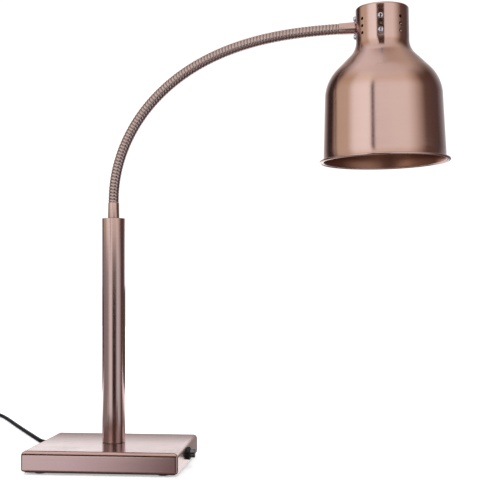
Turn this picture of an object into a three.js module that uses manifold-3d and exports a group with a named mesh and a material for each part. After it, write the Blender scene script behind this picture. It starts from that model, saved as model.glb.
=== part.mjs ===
// Table-top heat lamp for keeping food warm: sheet-metal base, round upright, gooseneck arm and spun bell
// shade. Millimetres, +Z up. The origin is on the table under the upright's axis; +X is the side that the arm
// leans to and +Y is the back, where the mains cord leaves.
import * as THREE from 'three';
import { mergeVertices } from 'three/addons/utils/BufferGeometryUtils.js';
import Module from 'manifold-3d';

const wasm = await Module();
wasm.setup();

// ---------------------------------------------------------------- driving dimensions
const GAP = 0.3; // between pieces that touch

const BASE_WIDTH = 210;
const BASE_DEPTH = 184;
const BASE_TOP = 31.2;
const COVER_BOTTOM = 3.8;
const SHEET = 1.5; // cover's sheet
const EDGE_ROUND = 3;
const CORNER_ROUND = 4;
const LIP = 12; // turned in under the cover
const PLATE_SHEET = 1;
const PLATE_INSET = 4;
const FOOT_RADIUS = 7.5;
const FOOT_HEIGHT = 2.2;
const FOOT_PLACE = [83, 74];
const BALLAST = [172, 156, 16];
const BALLAST_SHIFT = -11; // leaves room for the switch

const COLUMN_RADIUS = 16;
const COLUMN_WALL = 1.5;
const COLUMN_TOP = 343.1;
const BORE = 7; // clear way for the lamp's lead
const THREAD = 10; // hollow bolts and ferrule stubs

const FERRULE_LENGTH = 22.2;
const FERRULE_RADIUS = 8;
const FERRULE_TIP_RADIUS = 7.5;

const ARM_YAW = -5.5; // degrees about +Z, the arm leans a little to the front
const NECK_RADIUS = 6.8; // gooseneck
const NECK_BORE = 4.2;
const NECK_LENGTH = 433.5;
const NECK_STRAIGHT = 2; // straight length above the lower ferrule
const NECK_BEND = 134.3; // degrees that the first curvature alone would turn the arm
const NECK_EASE = 21.2; // degrees taken back as the curvature eases off
const NECK_SETTLE = 24.1; // degrees taken back towards the shade, where it eases off faster
const NECK_PARTS = 10;
const JOINT_GAP = 1.5;

const SHADE_WALL = 1.2;
const SHADE_NECK_RADIUS = 35;
const SHADE_TOP_ROUND = 3;
const SHADE_FILLET = 28; // neck to cone
const SHADE_FILLET_DROP = 43.5; // where the fillet starts, below the top
const SHADE_SHOULDER = 53; // radius of the shoulder's arc
const SHADE_BODY_RADIUS = 77.5; // at the end of the shoulder
const SHADE_RIM_RADIUS = 80.8; // body at the flange
const SHADE_FLANGE_DROP = 203;
const BEAD_RADIUS = 1.6;
const BEAD_CENTRE = 84.7;
const HOLE_MIDDLE = 27.7; // below the shade's top
const HOLE_PITCH = 9.3;
const VENT_RADIUS = 2;
const SCREW_RADIUS = 2; // M4
const ARM_DROP = 24.3; // arm's axis below the shade's top
const ARM_SCREW_SPACING = 12;

const SWITCH_PLACE = [BASE_WIDTH / 2, -12, 19.6];
const SWITCH_TRAVEL = 3;

const GLAND_PLACE = [-60, BASE_DEPTH / 2, 15.5];
const GLAND_LENGTH = 26;
const CORD_RADIUS = 3.25;
const COIL_CENTRE = [-404, 521];
const COIL_INNER = 26;
const COIL_OUTER = 46;
const COIL_HEIGHT = 13.2;
const PLUG_RADIUS = 18.5;
const PLUG_BACK = [-442, 476, 18.8];

// ---------------------------------------------------------------- materials
const finish = (color, roughness, metalness) =>
  new THREE.MeshStandardMaterial({ color, roughness, metalness });
const copper = finish(0xa87f72, 0.35, 1);
const steel = finish(0xb9bcc2, 0.3, 1);
const blackSteel = finish(0x2a2a2c, 0.6, 0.6);
const castSteel = finish(0x55575a, 0.7, 0.8);
const blackPlastic = finish(0x101012, 0.4, 0);
const greyChrome = finish(0x4a4c50, 0.15, 1);
const rubber = finish(0x141416, 0.9, 0);
const cordRubber = finish(0x14161c, 0.7, 0);
const ceramic = finish(0xe8e4da, 0.4, 0);
const brass = finish(0xb89a55, 0.3, 1);
const glass = finish(0xcfd0cc, 0.1, 0);
const silicone = finish(0xb8b4a8, 0.6, 0);

// ---------------------------------------------------------------- solids
// A closed geometry as a manifold-3d solid, turned the right way out.
function solid(geometry) {
  const bare = geometry.index ? geometry.toNonIndexed() : geometry.clone();
  bare.deleteAttribute('normal');
  bare.deleteAttribute('uv');
  const merged = mergeVertices(bare, 1e-3);
  const triVerts = new Uint32Array(merged.index.array);
  const vertProperties = new Float32Array(merged.attributes.position.array);
  const made = new wasm.Manifold(new wasm.Mesh({ numProp: 3, vertProperties, triVerts }));
  if (made.volume() > 0) return made;
  for (let i = 0; i < triVerts.length; i += 3) {
    [triVerts[i], triVerts[i + 1]] = [triVerts[i + 1], triVerts[i]];
  }
  return new wasm.Manifold(new wasm.Mesh({ numProp: 3, vertProperties, triVerts }));
}

function geometryOf(body) {
  const mesh = body.getMesh();
  const geometry = new THREE.BufferGeometry();
  geometry.setAttribute('position', new THREE.BufferAttribute(mesh.vertProperties, 3));
  geometry.setIndex(new THREE.BufferAttribute(mesh.triVerts, 1));
  return geometry.toNonIndexed();
}

const outward = (geometry) => geometryOf(solid(geometry));
const cut = (geometry, tools) =>
  geometryOf(tools.reduce((body, tool) => body.subtract(solid(tool)), solid(geometry)));
const join = (geometries) => geometryOf(geometries.map(solid).reduce((a, b) => a.add(b)));

// A profile of [radius, height] points turned about Z.
function turned(profile, sides = 20, closed = false) {
  const points = profile.map(([r, z]) => new THREE.Vector2(r, z));
  if (closed) points.push(points[0].clone());
  return outward(new THREE.LatheGeometry(points, sides).rotateX(Math.PI / 2));
}

const rod = (radius, low, high, sides = 20) =>
  turned([[0, low], [radius, low], [radius, high], [0, high]], sides);
const pipe = (outer, inner, low, high, sides = 20) =>
  turned([[inner, low], [outer, low], [outer, high], [inner, high]], sides, true);

function box(width, depth, height, x, y, z) {
  return new THREE.BoxGeometry(width, depth, height).translate(x, y, z);
}

function roundedShape(width, depth, radius) {
  const shape = new THREE.Shape();
  const [w, d, r] = [width / 2, depth / 2, radius];
  shape.moveTo(-w + r, -d);
  shape.absarc(w - r, -d + r, r, -Math.PI / 2, 0, false);
  shape.absarc(w - r, d - r, r, 0, Math.PI / 2, false);
  shape.absarc(-w + r, d - r, r, Math.PI / 2, Math.PI, false);
  shape.absarc(-w + r, -d + r, r, Math.PI, Math.PI * 1.5, false);
  return shape;
}

// A rounded box with all its edges rounded by `edge`.
function roundedBox(width, depth, corner, edge, low, high) {
  const shape = roundedShape(width - 2 * edge, depth - 2 * edge, Math.max(corner - edge, 0.4));
  const bevel = { bevelThickness: edge, bevelSize: edge, bevelSegments: 2 };
  const options = { depth: high - low - 2 * edge, curveSegments: 2, ...bevel };
  return new THREE.ExtrudeGeometry(shape, options).translate(0, 0, low + edge);
}

function slab(width, depth, corner, low, high) {
  const shape = roundedShape(width, depth, corner);
  const options = { depth: high - low, bevelEnabled: false, curveSegments: 2 };
  return new THREE.ExtrudeGeometry(shape, options).translate(0, 0, low);
}

function hexNut(acrossFlats, bore, low, high) {
  const radius = acrossFlats / Math.sqrt(3);
  const shape = new THREE.Shape();
  for (let i = 0; i < 6; i += 1) {
    const angle = (i * Math.PI) / 3;
    shape[i ? 'lineTo' : 'moveTo'](radius * Math.cos(angle), radius * Math.sin(angle));
  }
  shape.holes.push(new THREE.Path().absarc(0, 0, bore, 0, 2 * Math.PI, true));
  const options = { depth: high - low, bevelEnabled: false, curveSegments: 6 };
  return outward(new THREE.ExtrudeGeometry(shape, options).translate(0, 0, low));
}

// A round rod or, with a bore, a round tube along a curve.
function alongCurve(curve, radius, steps, sides, bore = 0) {
  const shape = new THREE.Shape().absarc(0, 0, radius, 0, 2 * Math.PI, false);
  if (bore) shape.holes.push(new THREE.Path().absarc(0, 0, bore, 0, 2 * Math.PI, true));
  const options = { extrudePath: curve, steps, curveSegments: sides / 2, bevelEnabled: false };
  return outward(new THREE.ExtrudeGeometry(shape, options));
}

const smooth = (points) =>
  new THREE.CatmullRomCurve3(points.map((p) => new THREE.Vector3(...p)), false, 'centripetal');

// Points on an arc, angles in degrees measured from the +radius direction.
function arc(centreR, centreZ, radius, from, to, steps) {
  const points = [];
  for (let i = 0; i <= steps; i += 1) {
    const angle = THREE.MathUtils.degToRad(from + ((to - from) * i) / steps);
    points.push([centreR + radius * Math.cos(angle), centreZ + radius * Math.sin(angle)]);
  }
  return points;
}

// ---------------------------------------------------------------- scene graph
const lamp = new THREE.Group();

function put(parent, name, geometry, material, place = [0, 0, 0], turn = [0, 0, 0]) {
  const mesh = new THREE.Mesh(geometry, material);
  mesh.name = name;
  mesh.position.set(...place);
  mesh.rotation.set(...turn.map(THREE.MathUtils.degToRad));
  parent.add(mesh);
  return mesh;
}

const fourCorners = (x, y) => [[-x, -y], [x, -y], [x, y], [-x, y]];

// ---------------------------------------------------------------- base
function buildBase() {
  const screwPlace = fourCorners(BASE_WIDTH / 2 - 7.5, BASE_DEPTH / 2 - 7.5);
  const lipTop = COVER_BOTTOM + SHEET;
  const [insideWidth, insideDepth] = [BASE_WIDTH - 2 * SHEET, BASE_DEPTH - 2 * SHEET];
  const [insideCorner, insideEdge] = [CORNER_ROUND - SHEET, EDGE_ROUND - SHEET];
  const inside = roundedBox(insideWidth, insideDepth, insideCorner, insideEdge, lipTop, BASE_TOP - SHEET);
  const opening = slab(BASE_WIDTH - 2 * LIP, BASE_DEPTH - 2 * LIP, 3, COVER_BOTTOM - 1, lipTop + 1);
  const boltHole = rod(THREAD / 2 + GAP, BASE_TOP - 4, BASE_TOP + 4, 16);
  const switchHole = rod(8.2, -6, 6, 20).rotateY(Math.PI / 2).translate(...SWITCH_PLACE);
  const glandHole = rod(6.2, -6, 6, 16).rotateX(Math.PI / 2).translate(...GLAND_PLACE);
  const screwHoles = screwPlace.map(([x, y]) => rod(1.9, 0, 9, 8).translate(x, y, 0));
  const outside = roundedBox(BASE_WIDTH, BASE_DEPTH, CORNER_ROUND, EDGE_ROUND, COVER_BOTTOM, BASE_TOP);
  const holes = [inside, opening, boltHole, switchHole, glandHole, ...screwHoles];
  put(lamp, 'base_cover', cut(outside, holes), copper);

  const plateTop = COVER_BOTTOM - GAP;
  const plateLow = plateTop - PLATE_SHEET;
  const plate = slab(BASE_WIDTH - 2 * PLATE_INSET, BASE_DEPTH - 2 * PLATE_INSET, 3, plateLow, plateTop);
  const sink = [
    [0, plateLow - 1], [3.2, plateLow - 1], [3.2, plateLow],
    [1.9, plateTop], [1.9, plateTop + 1], [0, plateTop + 1],
  ];
  const sinks = screwPlace.map(([x, y]) => turned(sink, 12).translate(x, y, 0));
  put(lamp, 'base_bottom_plate', cut(plate, sinks), blackSteel);

  const screwEnd = plateTop + 5;
  const screw = [[0, plateLow], [2.8, plateLow], [1.5, plateTop - 0.1], [1.5, screwEnd], [0, screwEnd]];
  screwPlace.forEach(([x, y], i) =>
    put(lamp, `plate_screw_${i + 1}`, turned(screw, 12), steel, [x, y, 0]));

  const foot = [
    [0, 0], [FOOT_RADIUS - 0.6, 0], [FOOT_RADIUS, 0.6], [FOOT_RADIUS, FOOT_HEIGHT], [0, FOOT_HEIGHT],
  ];
  fourCorners(...FOOT_PLACE).forEach(([x, y], i) =>
    put(lamp, `rubber_foot_${i + 1}`, turned(foot, 16), rubber, [x, y, 0]));

  const ballastTop = BASE_TOP - SHEET - GAP;
  const ballastLow = ballastTop - BALLAST[2];
  const ballast = slab(BALLAST[0], BALLAST[1], 6, ballastLow, ballastTop).translate(BALLAST_SHIFT, 0, 0);
  const nutRecess = rod(11.5, ballastLow - 1, ballastLow + 8, 16);
  const boltWay = rod(THREAD / 2 + GAP, ballastLow, ballastTop + 1, 12);
  const leadNotch = box(22, 24, 40, GLAND_PLACE[0], BALLAST[1] / 2, ballastLow + 8);
  put(lamp, 'ballast_plate', cut(ballast, [nutRecess, boltWay, leadNotch]), castSteel);

  put(lamp, 'terminal_block', outward(box(14, 32, 14, 84, 40, plateTop + GAP + 7)), blackPlastic);
}

// The push switch, built along +Z and turned to +X.
function buildSwitch() {
  const side = new THREE.Group();
  side.position.set(...SWITCH_PLACE);
  side.rotation.y = Math.PI / 2;
  lamp.add(side);
  const barrel = -17;
  const collar = 5.2;
  const bore = 6.5;
  const bezel = [
    [bore, barrel], [7.9, barrel], [7.9, GAP], [9, GAP], [9.1, 1], [9.1, collar - 0.8], [8.4, collar],
    [7.4, collar], [bore, collar - 0.9],
  ];
  put(side, 'switch_bezel', turned(bezel, 20, true), blackPlastic);
  const nut = hexNut(18, 8.2, -SHEET - GAP - 5, -SHEET - GAP);
  put(side, 'switch_nut', nut, steel, [0, 0, 0], [0, 0, 30]);
  const bodyFront = -8.5;
  const body = [
    [0, -28.5], [8.6, -28.5], [8.6, barrel - GAP], [6.2, barrel - GAP], [6.2, bodyFront], [0, bodyFront],
  ];
  put(side, 'switch_body', turned(body, 20), blackPlastic);
  const stem = bodyFront + SWITCH_TRAVEL + 0.5;
  const button = [[0, stem], [6.2, stem], [6.2, 10.6], [5.6, 11.6], [4, 12], [0, 12.1]];
  put(side, 'switch_button', turned(button, 20), greyChrome);
}

// ---------------------------------------------------------------- upright
function buildColumn() {
  const foot = BASE_TOP + GAP;
  const inner = COLUMN_RADIUS - COLUMN_WALL;
  put(lamp, 'column_tube', pipe(COLUMN_RADIUS, inner, foot, COLUMN_TOP, 32), copper);
  put(lamp, 'column_foot_boss', pipe(inner - GAP, THREAD / 2 + GAP, foot, foot + 14, 16), steel);
  const ballastLow = BASE_TOP - SHEET - GAP - BALLAST[2];
  const nutTop = ballastLow + 8 - GAP;
  const nutHeight = 4;
  put(lamp, 'column_hollow_bolt', pipe(THREAD / 2, BORE / 2, nutTop - nutHeight - 0.5, foot + 18, 12), steel);
  put(lamp, 'column_foot_nut', hexNut(17, THREAD / 2 + GAP, nutTop - nutHeight, nutTop), steel);
  put(lamp, 'column_top_plug', pipe(inner - GAP, THREAD / 2 + GAP, COLUMN_TOP - 10, COLUMN_TOP, 16), copper);
}

// A gooseneck's end sleeve on its threaded stub; the stub points down and the sleeve's tip up.
function ferrule(stub) {
  const [edge, tip] = [FERRULE_RADIUS, FERRULE_TIP_RADIUS];
  return turned([
    [BORE / 2, -stub], [THREAD / 2, -stub], [THREAD / 2, 0], [edge - 0.4, 0], [edge, 0.4],
    [tip, FERRULE_LENGTH - 0.4], [tip - 0.4, FERRULE_LENGTH], [BORE / 2, FERRULE_LENGTH],
  ], 20, true);
}

// ---------------------------------------------------------------- gooseneck
// The arm's centre line, in the upright plane that it bends in: x outwards, z up. Its slope starts at 90
// degrees and falls by a curvature that eases off towards the shade.
const neckTurn = (s) => {
  const v = Math.max(0, (s - NECK_STRAIGHT) / (NECK_LENGTH - NECK_STRAIGHT));
  return NECK_BEND * v - NECK_EASE * v ** 2 - NECK_SETTLE * v ** 3;
};
const neckSlope = (s) => THREE.MathUtils.degToRad(90 - neckTurn(s));
const NECK_START = COLUMN_TOP + GAP + FERRULE_LENGTH + GAP;

function neckPoint(s) {
  const step = s / 400;
  let [x, z] = [0, NECK_START];
  for (let i = 0; i < 400; i += 1) {
    const slope = neckSlope((i + 0.5) * step);
    x += step * Math.cos(slope);
    z += step * Math.sin(slope);
  }
  return new THREE.Vector3(x, 0, z);
}

class NeckCurve extends THREE.Curve {
  constructor(from, to) {
    super();
    this.from = from;
    this.to = to;
  }

  getPoint(t) {
    return neckPoint(this.from + (this.to - this.from) * t);
  }
}

function buildArm(arm) {
  const foot = COLUMN_TOP + GAP;
  put(arm, 'lower_ferrule', ferrule(18), copper, [0, 0, foot]);
  put(arm, 'ferrule_locknut', hexNut(17, THREAD / 2 + GAP, -6, 0), steel, [0, 0, COLUMN_TOP - 10 - GAP]);
  const part = NECK_LENGTH / NECK_PARTS;
  for (let i = 0; i < NECK_PARTS; i += 1) {
    const from = i * part + (i ? JOINT_GAP / 2 : 0);
    const to = (i + 1) * part - (i < NECK_PARTS - 1 ? JOINT_GAP / 2 : 0);
    const name = `gooseneck_${String(i + 1).padStart(2, '0')}`;
    put(arm, name, alongCurve(new NeckCurve(from, to), NECK_RADIUS, 3, 12, NECK_BORE), copper);
  }
}

// ---------------------------------------------------------------- head
// The head's own frame: z is the shade's axis, 0 at its top; x points away from the arm.
function bellLine(outset) {
  const shoulderCentre = SHADE_BODY_RADIUS - SHADE_SHOULDER;
  const filletCentre = SHADE_NECK_RADIUS + SHADE_FILLET;
  const half = Math.SQRT1_2;
  const coneDrop = shoulderCentre + SHADE_SHOULDER * half - (filletCentre - SHADE_FILLET * half);
  const shoulderDrop = SHADE_FILLET_DROP + SHADE_FILLET * half + coneDrop + SHADE_SHOULDER * half;
  return [
    ...arc(SHADE_NECK_RADIUS - SHADE_TOP_ROUND, -SHADE_TOP_ROUND, SHADE_TOP_ROUND + outset, 90, 0, 2),
    ...arc(filletCentre, -SHADE_FILLET_DROP, SHADE_FILLET - outset, 180, 225, 4),
    ...arc(shoulderCentre, -shoulderDrop, SHADE_SHOULDER + outset, 45, 0, 5),
    [SHADE_RIM_RADIUS + outset, -SHADE_FLANGE_DROP + 2.4],
  ];
}

function holeThroughNeck(radius, drop, bearing, sides = 6) {
  return rod(radius, SHADE_NECK_RADIUS - 6, SHADE_NECK_RADIUS + 6, sides)
    .rotateY(Math.PI / 2)
    .rotateZ(THREE.MathUtils.degToRad(bearing))
    .translate(0, 0, -drop);
}

function buildShade(head) {
  const low = -SHADE_FLANGE_DROP;
  const half = SHADE_WALL / 2;
  const bead = arc(BEAD_CENTRE, low, BEAD_RADIUS, 150, -150, 5);
  const profile = [
    [0, 0], ...bellLine(0), [SHADE_RIM_RADIUS + 1, low + half], ...bead,
    [SHADE_RIM_RADIUS + 0.2, low - half], [SHADE_RIM_RADIUS - SHADE_WALL, low + 0.8],
    ...bellLine(-SHADE_WALL).reverse(), [0, -SHADE_WALL],
  ];
  const rows = [-1, 0, 1].map((row) => HOLE_MIDDLE + row * HOLE_PITCH);
  const vents = [45, 135, -135, -45, 0].flatMap((bearing) =>
    rows.map((drop) => holeThroughNeck(VENT_RADIUS, drop, bearing)));
  const strapHoles = [90, -90].flatMap((bearing) => [
    holeThroughNeck(SCREW_RADIUS + GAP, rows[0], bearing),
    holeThroughNeck(VENT_RADIUS, rows[1], bearing),
    holeThroughNeck(SCREW_RADIUS + GAP, rows[2], bearing),
  ]);
  const armHoles = [
    holeThroughNeck(SCREW_RADIUS + GAP, ARM_DROP - ARM_SCREW_SPACING, 180),
    holeThroughNeck(THREAD / 2 + GAP, ARM_DROP, 180, 12),
    holeThroughNeck(SCREW_RADIUS + GAP, ARM_DROP + ARM_SCREW_SPACING, 180),
  ];
  put(head, 'shade', cut(turned(profile, 36), [...vents, ...strapHoles, ...armHoles]), copper);
}

// A pan-head screw along +Z with its head on top and 0 at the head's seat.
function panScrew(length) {
  const head = [[3.9, 0], [3.9, 1.2], [2.6, 2.7], [0, 3.1]];
  return turned([[0, -length], [SCREW_RADIUS, -length], [SCREW_RADIUS, 0], ...head], 12);
}

function buildNeckHardware(head) {
  const seat = SHADE_NECK_RADIUS + GAP;
  const plateFace = 32.4;
  const plateThick = 2.5;
  const armPlate = box(plateThick, 14, 38, -plateFace + plateThick / 2, 0, -ARM_DROP);
  const acrossPlate = (radius, drop, sides) =>
    rod(radius, -plateFace - 2, -plateFace + 6, sides).rotateY(Math.PI / 2).translate(0, 0, -drop);
  const armScrewDrops = [ARM_DROP - ARM_SCREW_SPACING, ARM_DROP + ARM_SCREW_SPACING];
  const plateHoles = [
    acrossPlate(THREAD / 2 + GAP, ARM_DROP, 16),
    ...armScrewDrops.map((drop) => acrossPlate(SCREW_RADIUS + GAP, drop, 10)),
  ];
  put(head, 'arm_bracket', cut(armPlate, plateHoles), steel);
  ['arm_screw_upper', 'arm_screw_lower'].forEach((name, i) =>
    put(head, name, panScrew(9), steel, [-seat, 0, -armScrewDrops[i]], [0, -90, 0]));

  const nutFace = -plateFace + plateThick + GAP;
  put(head, 'sleeve_locknut', hexNut(16, THREAD / 2 + GAP, 0, 5), steel, [nutFace, 0, -ARM_DROP], [0, 90, 0]);
  put(head, 'upper_ferrule', ferrule(12), copper, [-seat, 0, -ARM_DROP], [0, -90, 0]);

  const [strapWidth, strapThick, strapTop, tabEnd] = [14, 2, -11, -43];
  const bridge = box(strapWidth, 2 * plateFace, strapThick, 0, 0, strapTop - strapThick / 2);
  const tabMiddle = plateFace - strapThick / 2;
  const tabs = [-1, 1].map((side) =>
    box(strapWidth, strapThick, strapTop - tabEnd, 0, side * tabMiddle, (strapTop + tabEnd) / 2));
  const strapDrops = [HOLE_MIDDLE - HOLE_PITCH, HOLE_MIDDLE + HOLE_PITCH];
  const strapHoles = strapDrops.map((drop) =>
    rod(SCREW_RADIUS + GAP, -40, 40, 10).rotateX(Math.PI / 2).translate(0, 0, -drop));
  const nippleHole = rod(THREAD / 2 + GAP, strapTop - 4, strapTop + 2, 16);
  put(head, 'holder_bracket', cut(join([bridge, ...tabs]), [...strapHoles, nippleHole]), steel);
  [['front', -1], ['rear', 1]].forEach(([end, side]) => {
    ['upper', 'lower'].forEach((level, i) => {
      const place = [0, side * seat, -strapDrops[i]];
      put(head, `bracket_screw_${end}_${level}`, panScrew(8), steel, place, [side * -90, 0, 0]);
    });
  });

  const holderTop = strapTop - strapThick - GAP;
  const holderBody = [
    [3.4, holderTop], [17, holderTop], [19.5, holderTop - 3], [19.5, -58], [18.5, -60], [14.6, -60],
    [14.6, -30], [3.4, -30],
  ];
  const nipple = pipe(THREAD / 2, 3.4, holderTop - 1, -5.5, 16);
  put(head, 'lamp_holder', join([turned(holderBody, 20, true), nipple]), ceramic);
  put(head, 'holder_nut', hexNut(15, THREAD / 2 + GAP, strapTop + GAP, strapTop + GAP + 3.5), steel);
  const shell = [[4, -30.4], [14.3, -30.4], [14.3, -56], [13.5, -56], [13.5, -31.2], [4, -31.2]];
  put(head, 'holder_shell', turned(shell, 20, true), brass);
}

// A pressed-glass reflector lamp: screw cap above, glass envelope below.
function buildBulb(head) {
  const cap = [[0, -31.6], [4.5, -31.6], [5, -33.5], [12.8, -36], [13.2, -38], [13.2, -57.5], [0, -57.5]];
  put(head, 'bulb_cap', turned(cap, 16), brass);
  const [glassTop, wall] = [-57.8, 2];
  const flare = [
    [13.4, glassTop], [16, -64], [30, -80], [45, -101], [55.5, -125], [60.5, -144], [60.5, -152],
  ];
  const face = [[57.5, -157], [32, -164.5], [0, -167.4]];
  const inside = [
    ...face.map(([r, z]) => [Math.max(r - wall, 0), z + wall]).reverse(),
    ...flare.map(([r, z]) => [r - wall, z]).reverse(),
  ];
  put(head, 'bulb_glass', turned([...flare, ...face, ...inside, flare[0]], 24), glass);
}

// ---------------------------------------------------------------- leads and mains cord
function buildLeads() {
  const low = 9.4;
  const [x, y] = GLAND_PLACE;
  const inner = [
    [x, y - 14, GLAND_PLACE[2]], [x, y - 17, 14.6], [x + 1, y - 21, low + 2], [x + 5, y - 27, low],
    [x + 30, y - 33, low], [30, 50, low], [70, 46, low], [76.3, 46, low],
  ];
  put(lamp, 'mains_inner_lead', alongCurve(smooth(inner), CORD_RADIUS - 0.4, 14, 6), cordRubber);
  const top = COLUMN_TOP + FERRULE_LENGTH;
  const riser = [
    [76.3, 32, low], [70, 32, low], [48, 23, low], [22, 10, low], [9, 4, low], [4, 1.8, low + 1.2],
    [1, 0.4, low + 4], [0, 0, low + 7.5], [0, 0, low + 15], [0, 0, 80], [0, 0, 200], [0, 0, top],
  ];
  put(lamp, 'lamp_lead', alongCurve(smooth(riser), 2.6, 30, 6), silicone);
}

function buildGland() {
  const end = new THREE.Group();
  end.position.set(...GLAND_PLACE);
  end.rotation.x = -Math.PI / 2;
  lamp.add(end);
  const gland = [
    [0, -13], [5.9, -13], [5.9, GAP], [8, GAP], [8, 2.6], [6.6, 3.4],
    [4.7, GLAND_LENGTH - 0.5], [4.2, GLAND_LENGTH], [0, GLAND_LENGTH],
  ];
  put(end, 'cord_gland', turned(gland, 16), rubber);
  put(end, 'gland_nut', hexNut(16, 6.2, -SHEET - GAP - 5, -SHEET - GAP), blackPlastic);
}

function buildCord() {
  const [gx, gy, gz] = GLAND_PLACE;
  const start = gy + GLAND_LENGTH + GAP;
  const lie = CORD_RADIUS + 0.15; // resting height of the cord's middle
  const route = [
    [gx, start, gz], [gx, start + 4, gz], [gx, start + 11, gz - 1.6], [gx - 2, start + 21, gz - 5],
    [gx - 8.5, start + 32, gz - 9.6], [gx - 20.5, start + 39.5, lie + 0.4], [gx - 37, start + 42, lie],
    [gx - 54, start + 43, lie], [gx - 71, start + 45.5, lie], [-146, 172.5, lie], [-158.5, 184, lie],
    [-168.5, 201, lie], [-187, 235, lie], [-223.5, 302, lie], [-262, 374, lie], [-300, 446, lie],
    [-320, 481, lie], [-337, 507.5, lie], [-347, 522, lie], [-353.6, 534, lie],
  ];
  put(lamp, 'mains_cord', alongCurve(smooth(route), CORD_RADIUS, 38, 8), cordRubber);

  const [low, high] = [0.2, 0.2 + COIL_HEIGHT];
  const ring = [
    [COIL_INNER, low + 2], [COIL_INNER + 2, low], [COIL_OUTER - 2, low], [COIL_OUTER, low + 2],
    [COIL_OUTER, high - 2], [COIL_OUTER - 2, high], [COIL_INNER + 2, high], [COIL_INNER, high - 2],
  ];
  put(lamp, 'cord_coil', turned(ring, 24, true), cordRubber, [...COIL_CENTRE, 0]);

  const [px, py, pz] = PLUG_BACK;
  const nose = 20;
  const tail = [
    [COIL_CENTRE[0] - 38, COIL_CENTRE[1] + 6, high + CORD_RADIUS + GAP],
    [px, COIL_CENTRE[1] - 4, high + CORD_RADIUS + 0.8],
    [px, py + nose + 8, pz - 0.4], [px, py + nose + GAP, pz],
  ];
  put(lamp, 'cord_tail', alongCurve(smooth(tail), CORD_RADIUS, 6, 8), cordRubber);

  const plug = new THREE.Group();
  plug.position.set(px, py, pz);
  plug.rotation.x = Math.PI / 2; // local +Z is -Y, the way the pins point
  lamp.add(plug);
  const bodyLength = 34;
  const body = [
    [0, -nose], [4.2, -nose], [5.2, -3], [9, 1], [13.5, 7], [PLUG_RADIUS - 0.6, 14], [PLUG_RADIUS, 17],
    [PLUG_RADIUS, bodyLength - 1], [PLUG_RADIUS - 1, bodyLength], [0, bodyLength],
  ];
  put(plug, 'plug_body', turned(body, 20), blackPlastic);
  const [seat, end] = [bodyLength + GAP, bodyLength + 19];
  const pin = [[0, seat], [2.4, seat], [2.4, end - 1.5], [1.2, end], [0, end]];
  [-9.5, 9.5].forEach((x, i) => {
    put(plug, `plug_pin_${i + 1}`, turned(pin, 12), steel, [x, 0, 0]);
  });
}

// ---------------------------------------------------------------- whole lamp
buildBase();
buildSwitch();
buildColumn();
buildLeads();
buildGland();
buildCord();

const arm = new THREE.Group();
arm.rotation.z = THREE.MathUtils.degToRad(ARM_YAW);
lamp.add(arm);
buildArm(arm);

const head = new THREE.Group();
const tip = neckPoint(NECK_LENGTH);
const rise = neckSlope(NECK_LENGTH);
const reach = SHADE_NECK_RADIUS + 2 * GAP + FERRULE_LENGTH; // gooseneck's end to the shade's axis
head.rotation.y = -rise;
head.position.set(
  tip.x + reach * Math.cos(rise) - ARM_DROP * Math.sin(rise),
  0,
  tip.z + reach * Math.sin(rise) + ARM_DROP * Math.cos(rise),
);
arm.add(head);
buildShade(head);
buildNeckHardware(head);
buildBulb(head);

export default lamp;
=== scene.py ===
"""Heat lamp warmer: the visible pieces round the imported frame, in metres, +Z up, with the front facing -Y."""

import math

import bmesh
import bpy
import numpy as np
from mathutils import Matrix, Vector


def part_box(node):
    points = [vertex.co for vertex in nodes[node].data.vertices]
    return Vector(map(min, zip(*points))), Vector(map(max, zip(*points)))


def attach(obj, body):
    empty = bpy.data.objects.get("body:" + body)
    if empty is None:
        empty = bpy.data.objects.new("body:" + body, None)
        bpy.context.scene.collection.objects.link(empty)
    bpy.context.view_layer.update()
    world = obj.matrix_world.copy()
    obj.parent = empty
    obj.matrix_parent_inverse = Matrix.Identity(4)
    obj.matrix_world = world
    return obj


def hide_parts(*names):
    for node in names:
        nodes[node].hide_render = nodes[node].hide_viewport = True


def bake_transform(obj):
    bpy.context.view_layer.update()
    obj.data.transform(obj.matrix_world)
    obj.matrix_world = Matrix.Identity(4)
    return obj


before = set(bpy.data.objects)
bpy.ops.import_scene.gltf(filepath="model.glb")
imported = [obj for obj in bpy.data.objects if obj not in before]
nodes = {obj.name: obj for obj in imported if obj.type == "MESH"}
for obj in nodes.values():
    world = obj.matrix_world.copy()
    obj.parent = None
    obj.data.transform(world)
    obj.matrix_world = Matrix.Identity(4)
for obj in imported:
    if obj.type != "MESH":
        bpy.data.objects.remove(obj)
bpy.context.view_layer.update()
MM = 0.001

# ---------------------------------------------------------------- shared sizes, in millimetres
BASE_WIDTH, BASE_DEPTH = 210.0, 184.0
BASE_TOP, COVER_BOTTOM, SHEET = 31.2, 3.8, 1.5
EDGE_ROUND, LOWER_ROUND, CORNER_ROUND, LIP = 6.4, 3.4, 4.0, 12.0
COLUMN_RADIUS, COLUMN_WALL, COLUMN_FOOT, COLUMN_TOP = 16.0, 1.5, 31.5, 343.1
FERRULE_LENGTH, FERRULE_RADIUS, FERRULE_TIP_RADIUS = 22.2, 8.0, 7.5
GAP = 0.3
ARM_YAW = math.radians(-5.5)
NECK_LENGTH, NECK_STRAIGHT = 433.5, 2.0
NECK_BEND, NECK_EASE, NECK_SETTLE = 134.3, 21.2, 24.1  # degrees
NECK_START = COLUMN_TOP + GAP + FERRULE_LENGTH + GAP
NECK_PARTS = 10
CREST_RADIUS, GROOVE_RADIUS, RIB_PITCH, NECK_BORE = 7.15, 6.45, 4.5, 4.2
SHADE_WALL, SHADE_NECK_RADIUS, SHADE_TOP_ROUND = 1.2, 35.0, 3.0
SHADE_FILLET, SHADE_FILLET_DROP, SHADE_SHOULDER = 28.0, 43.5, 53.0
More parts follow.
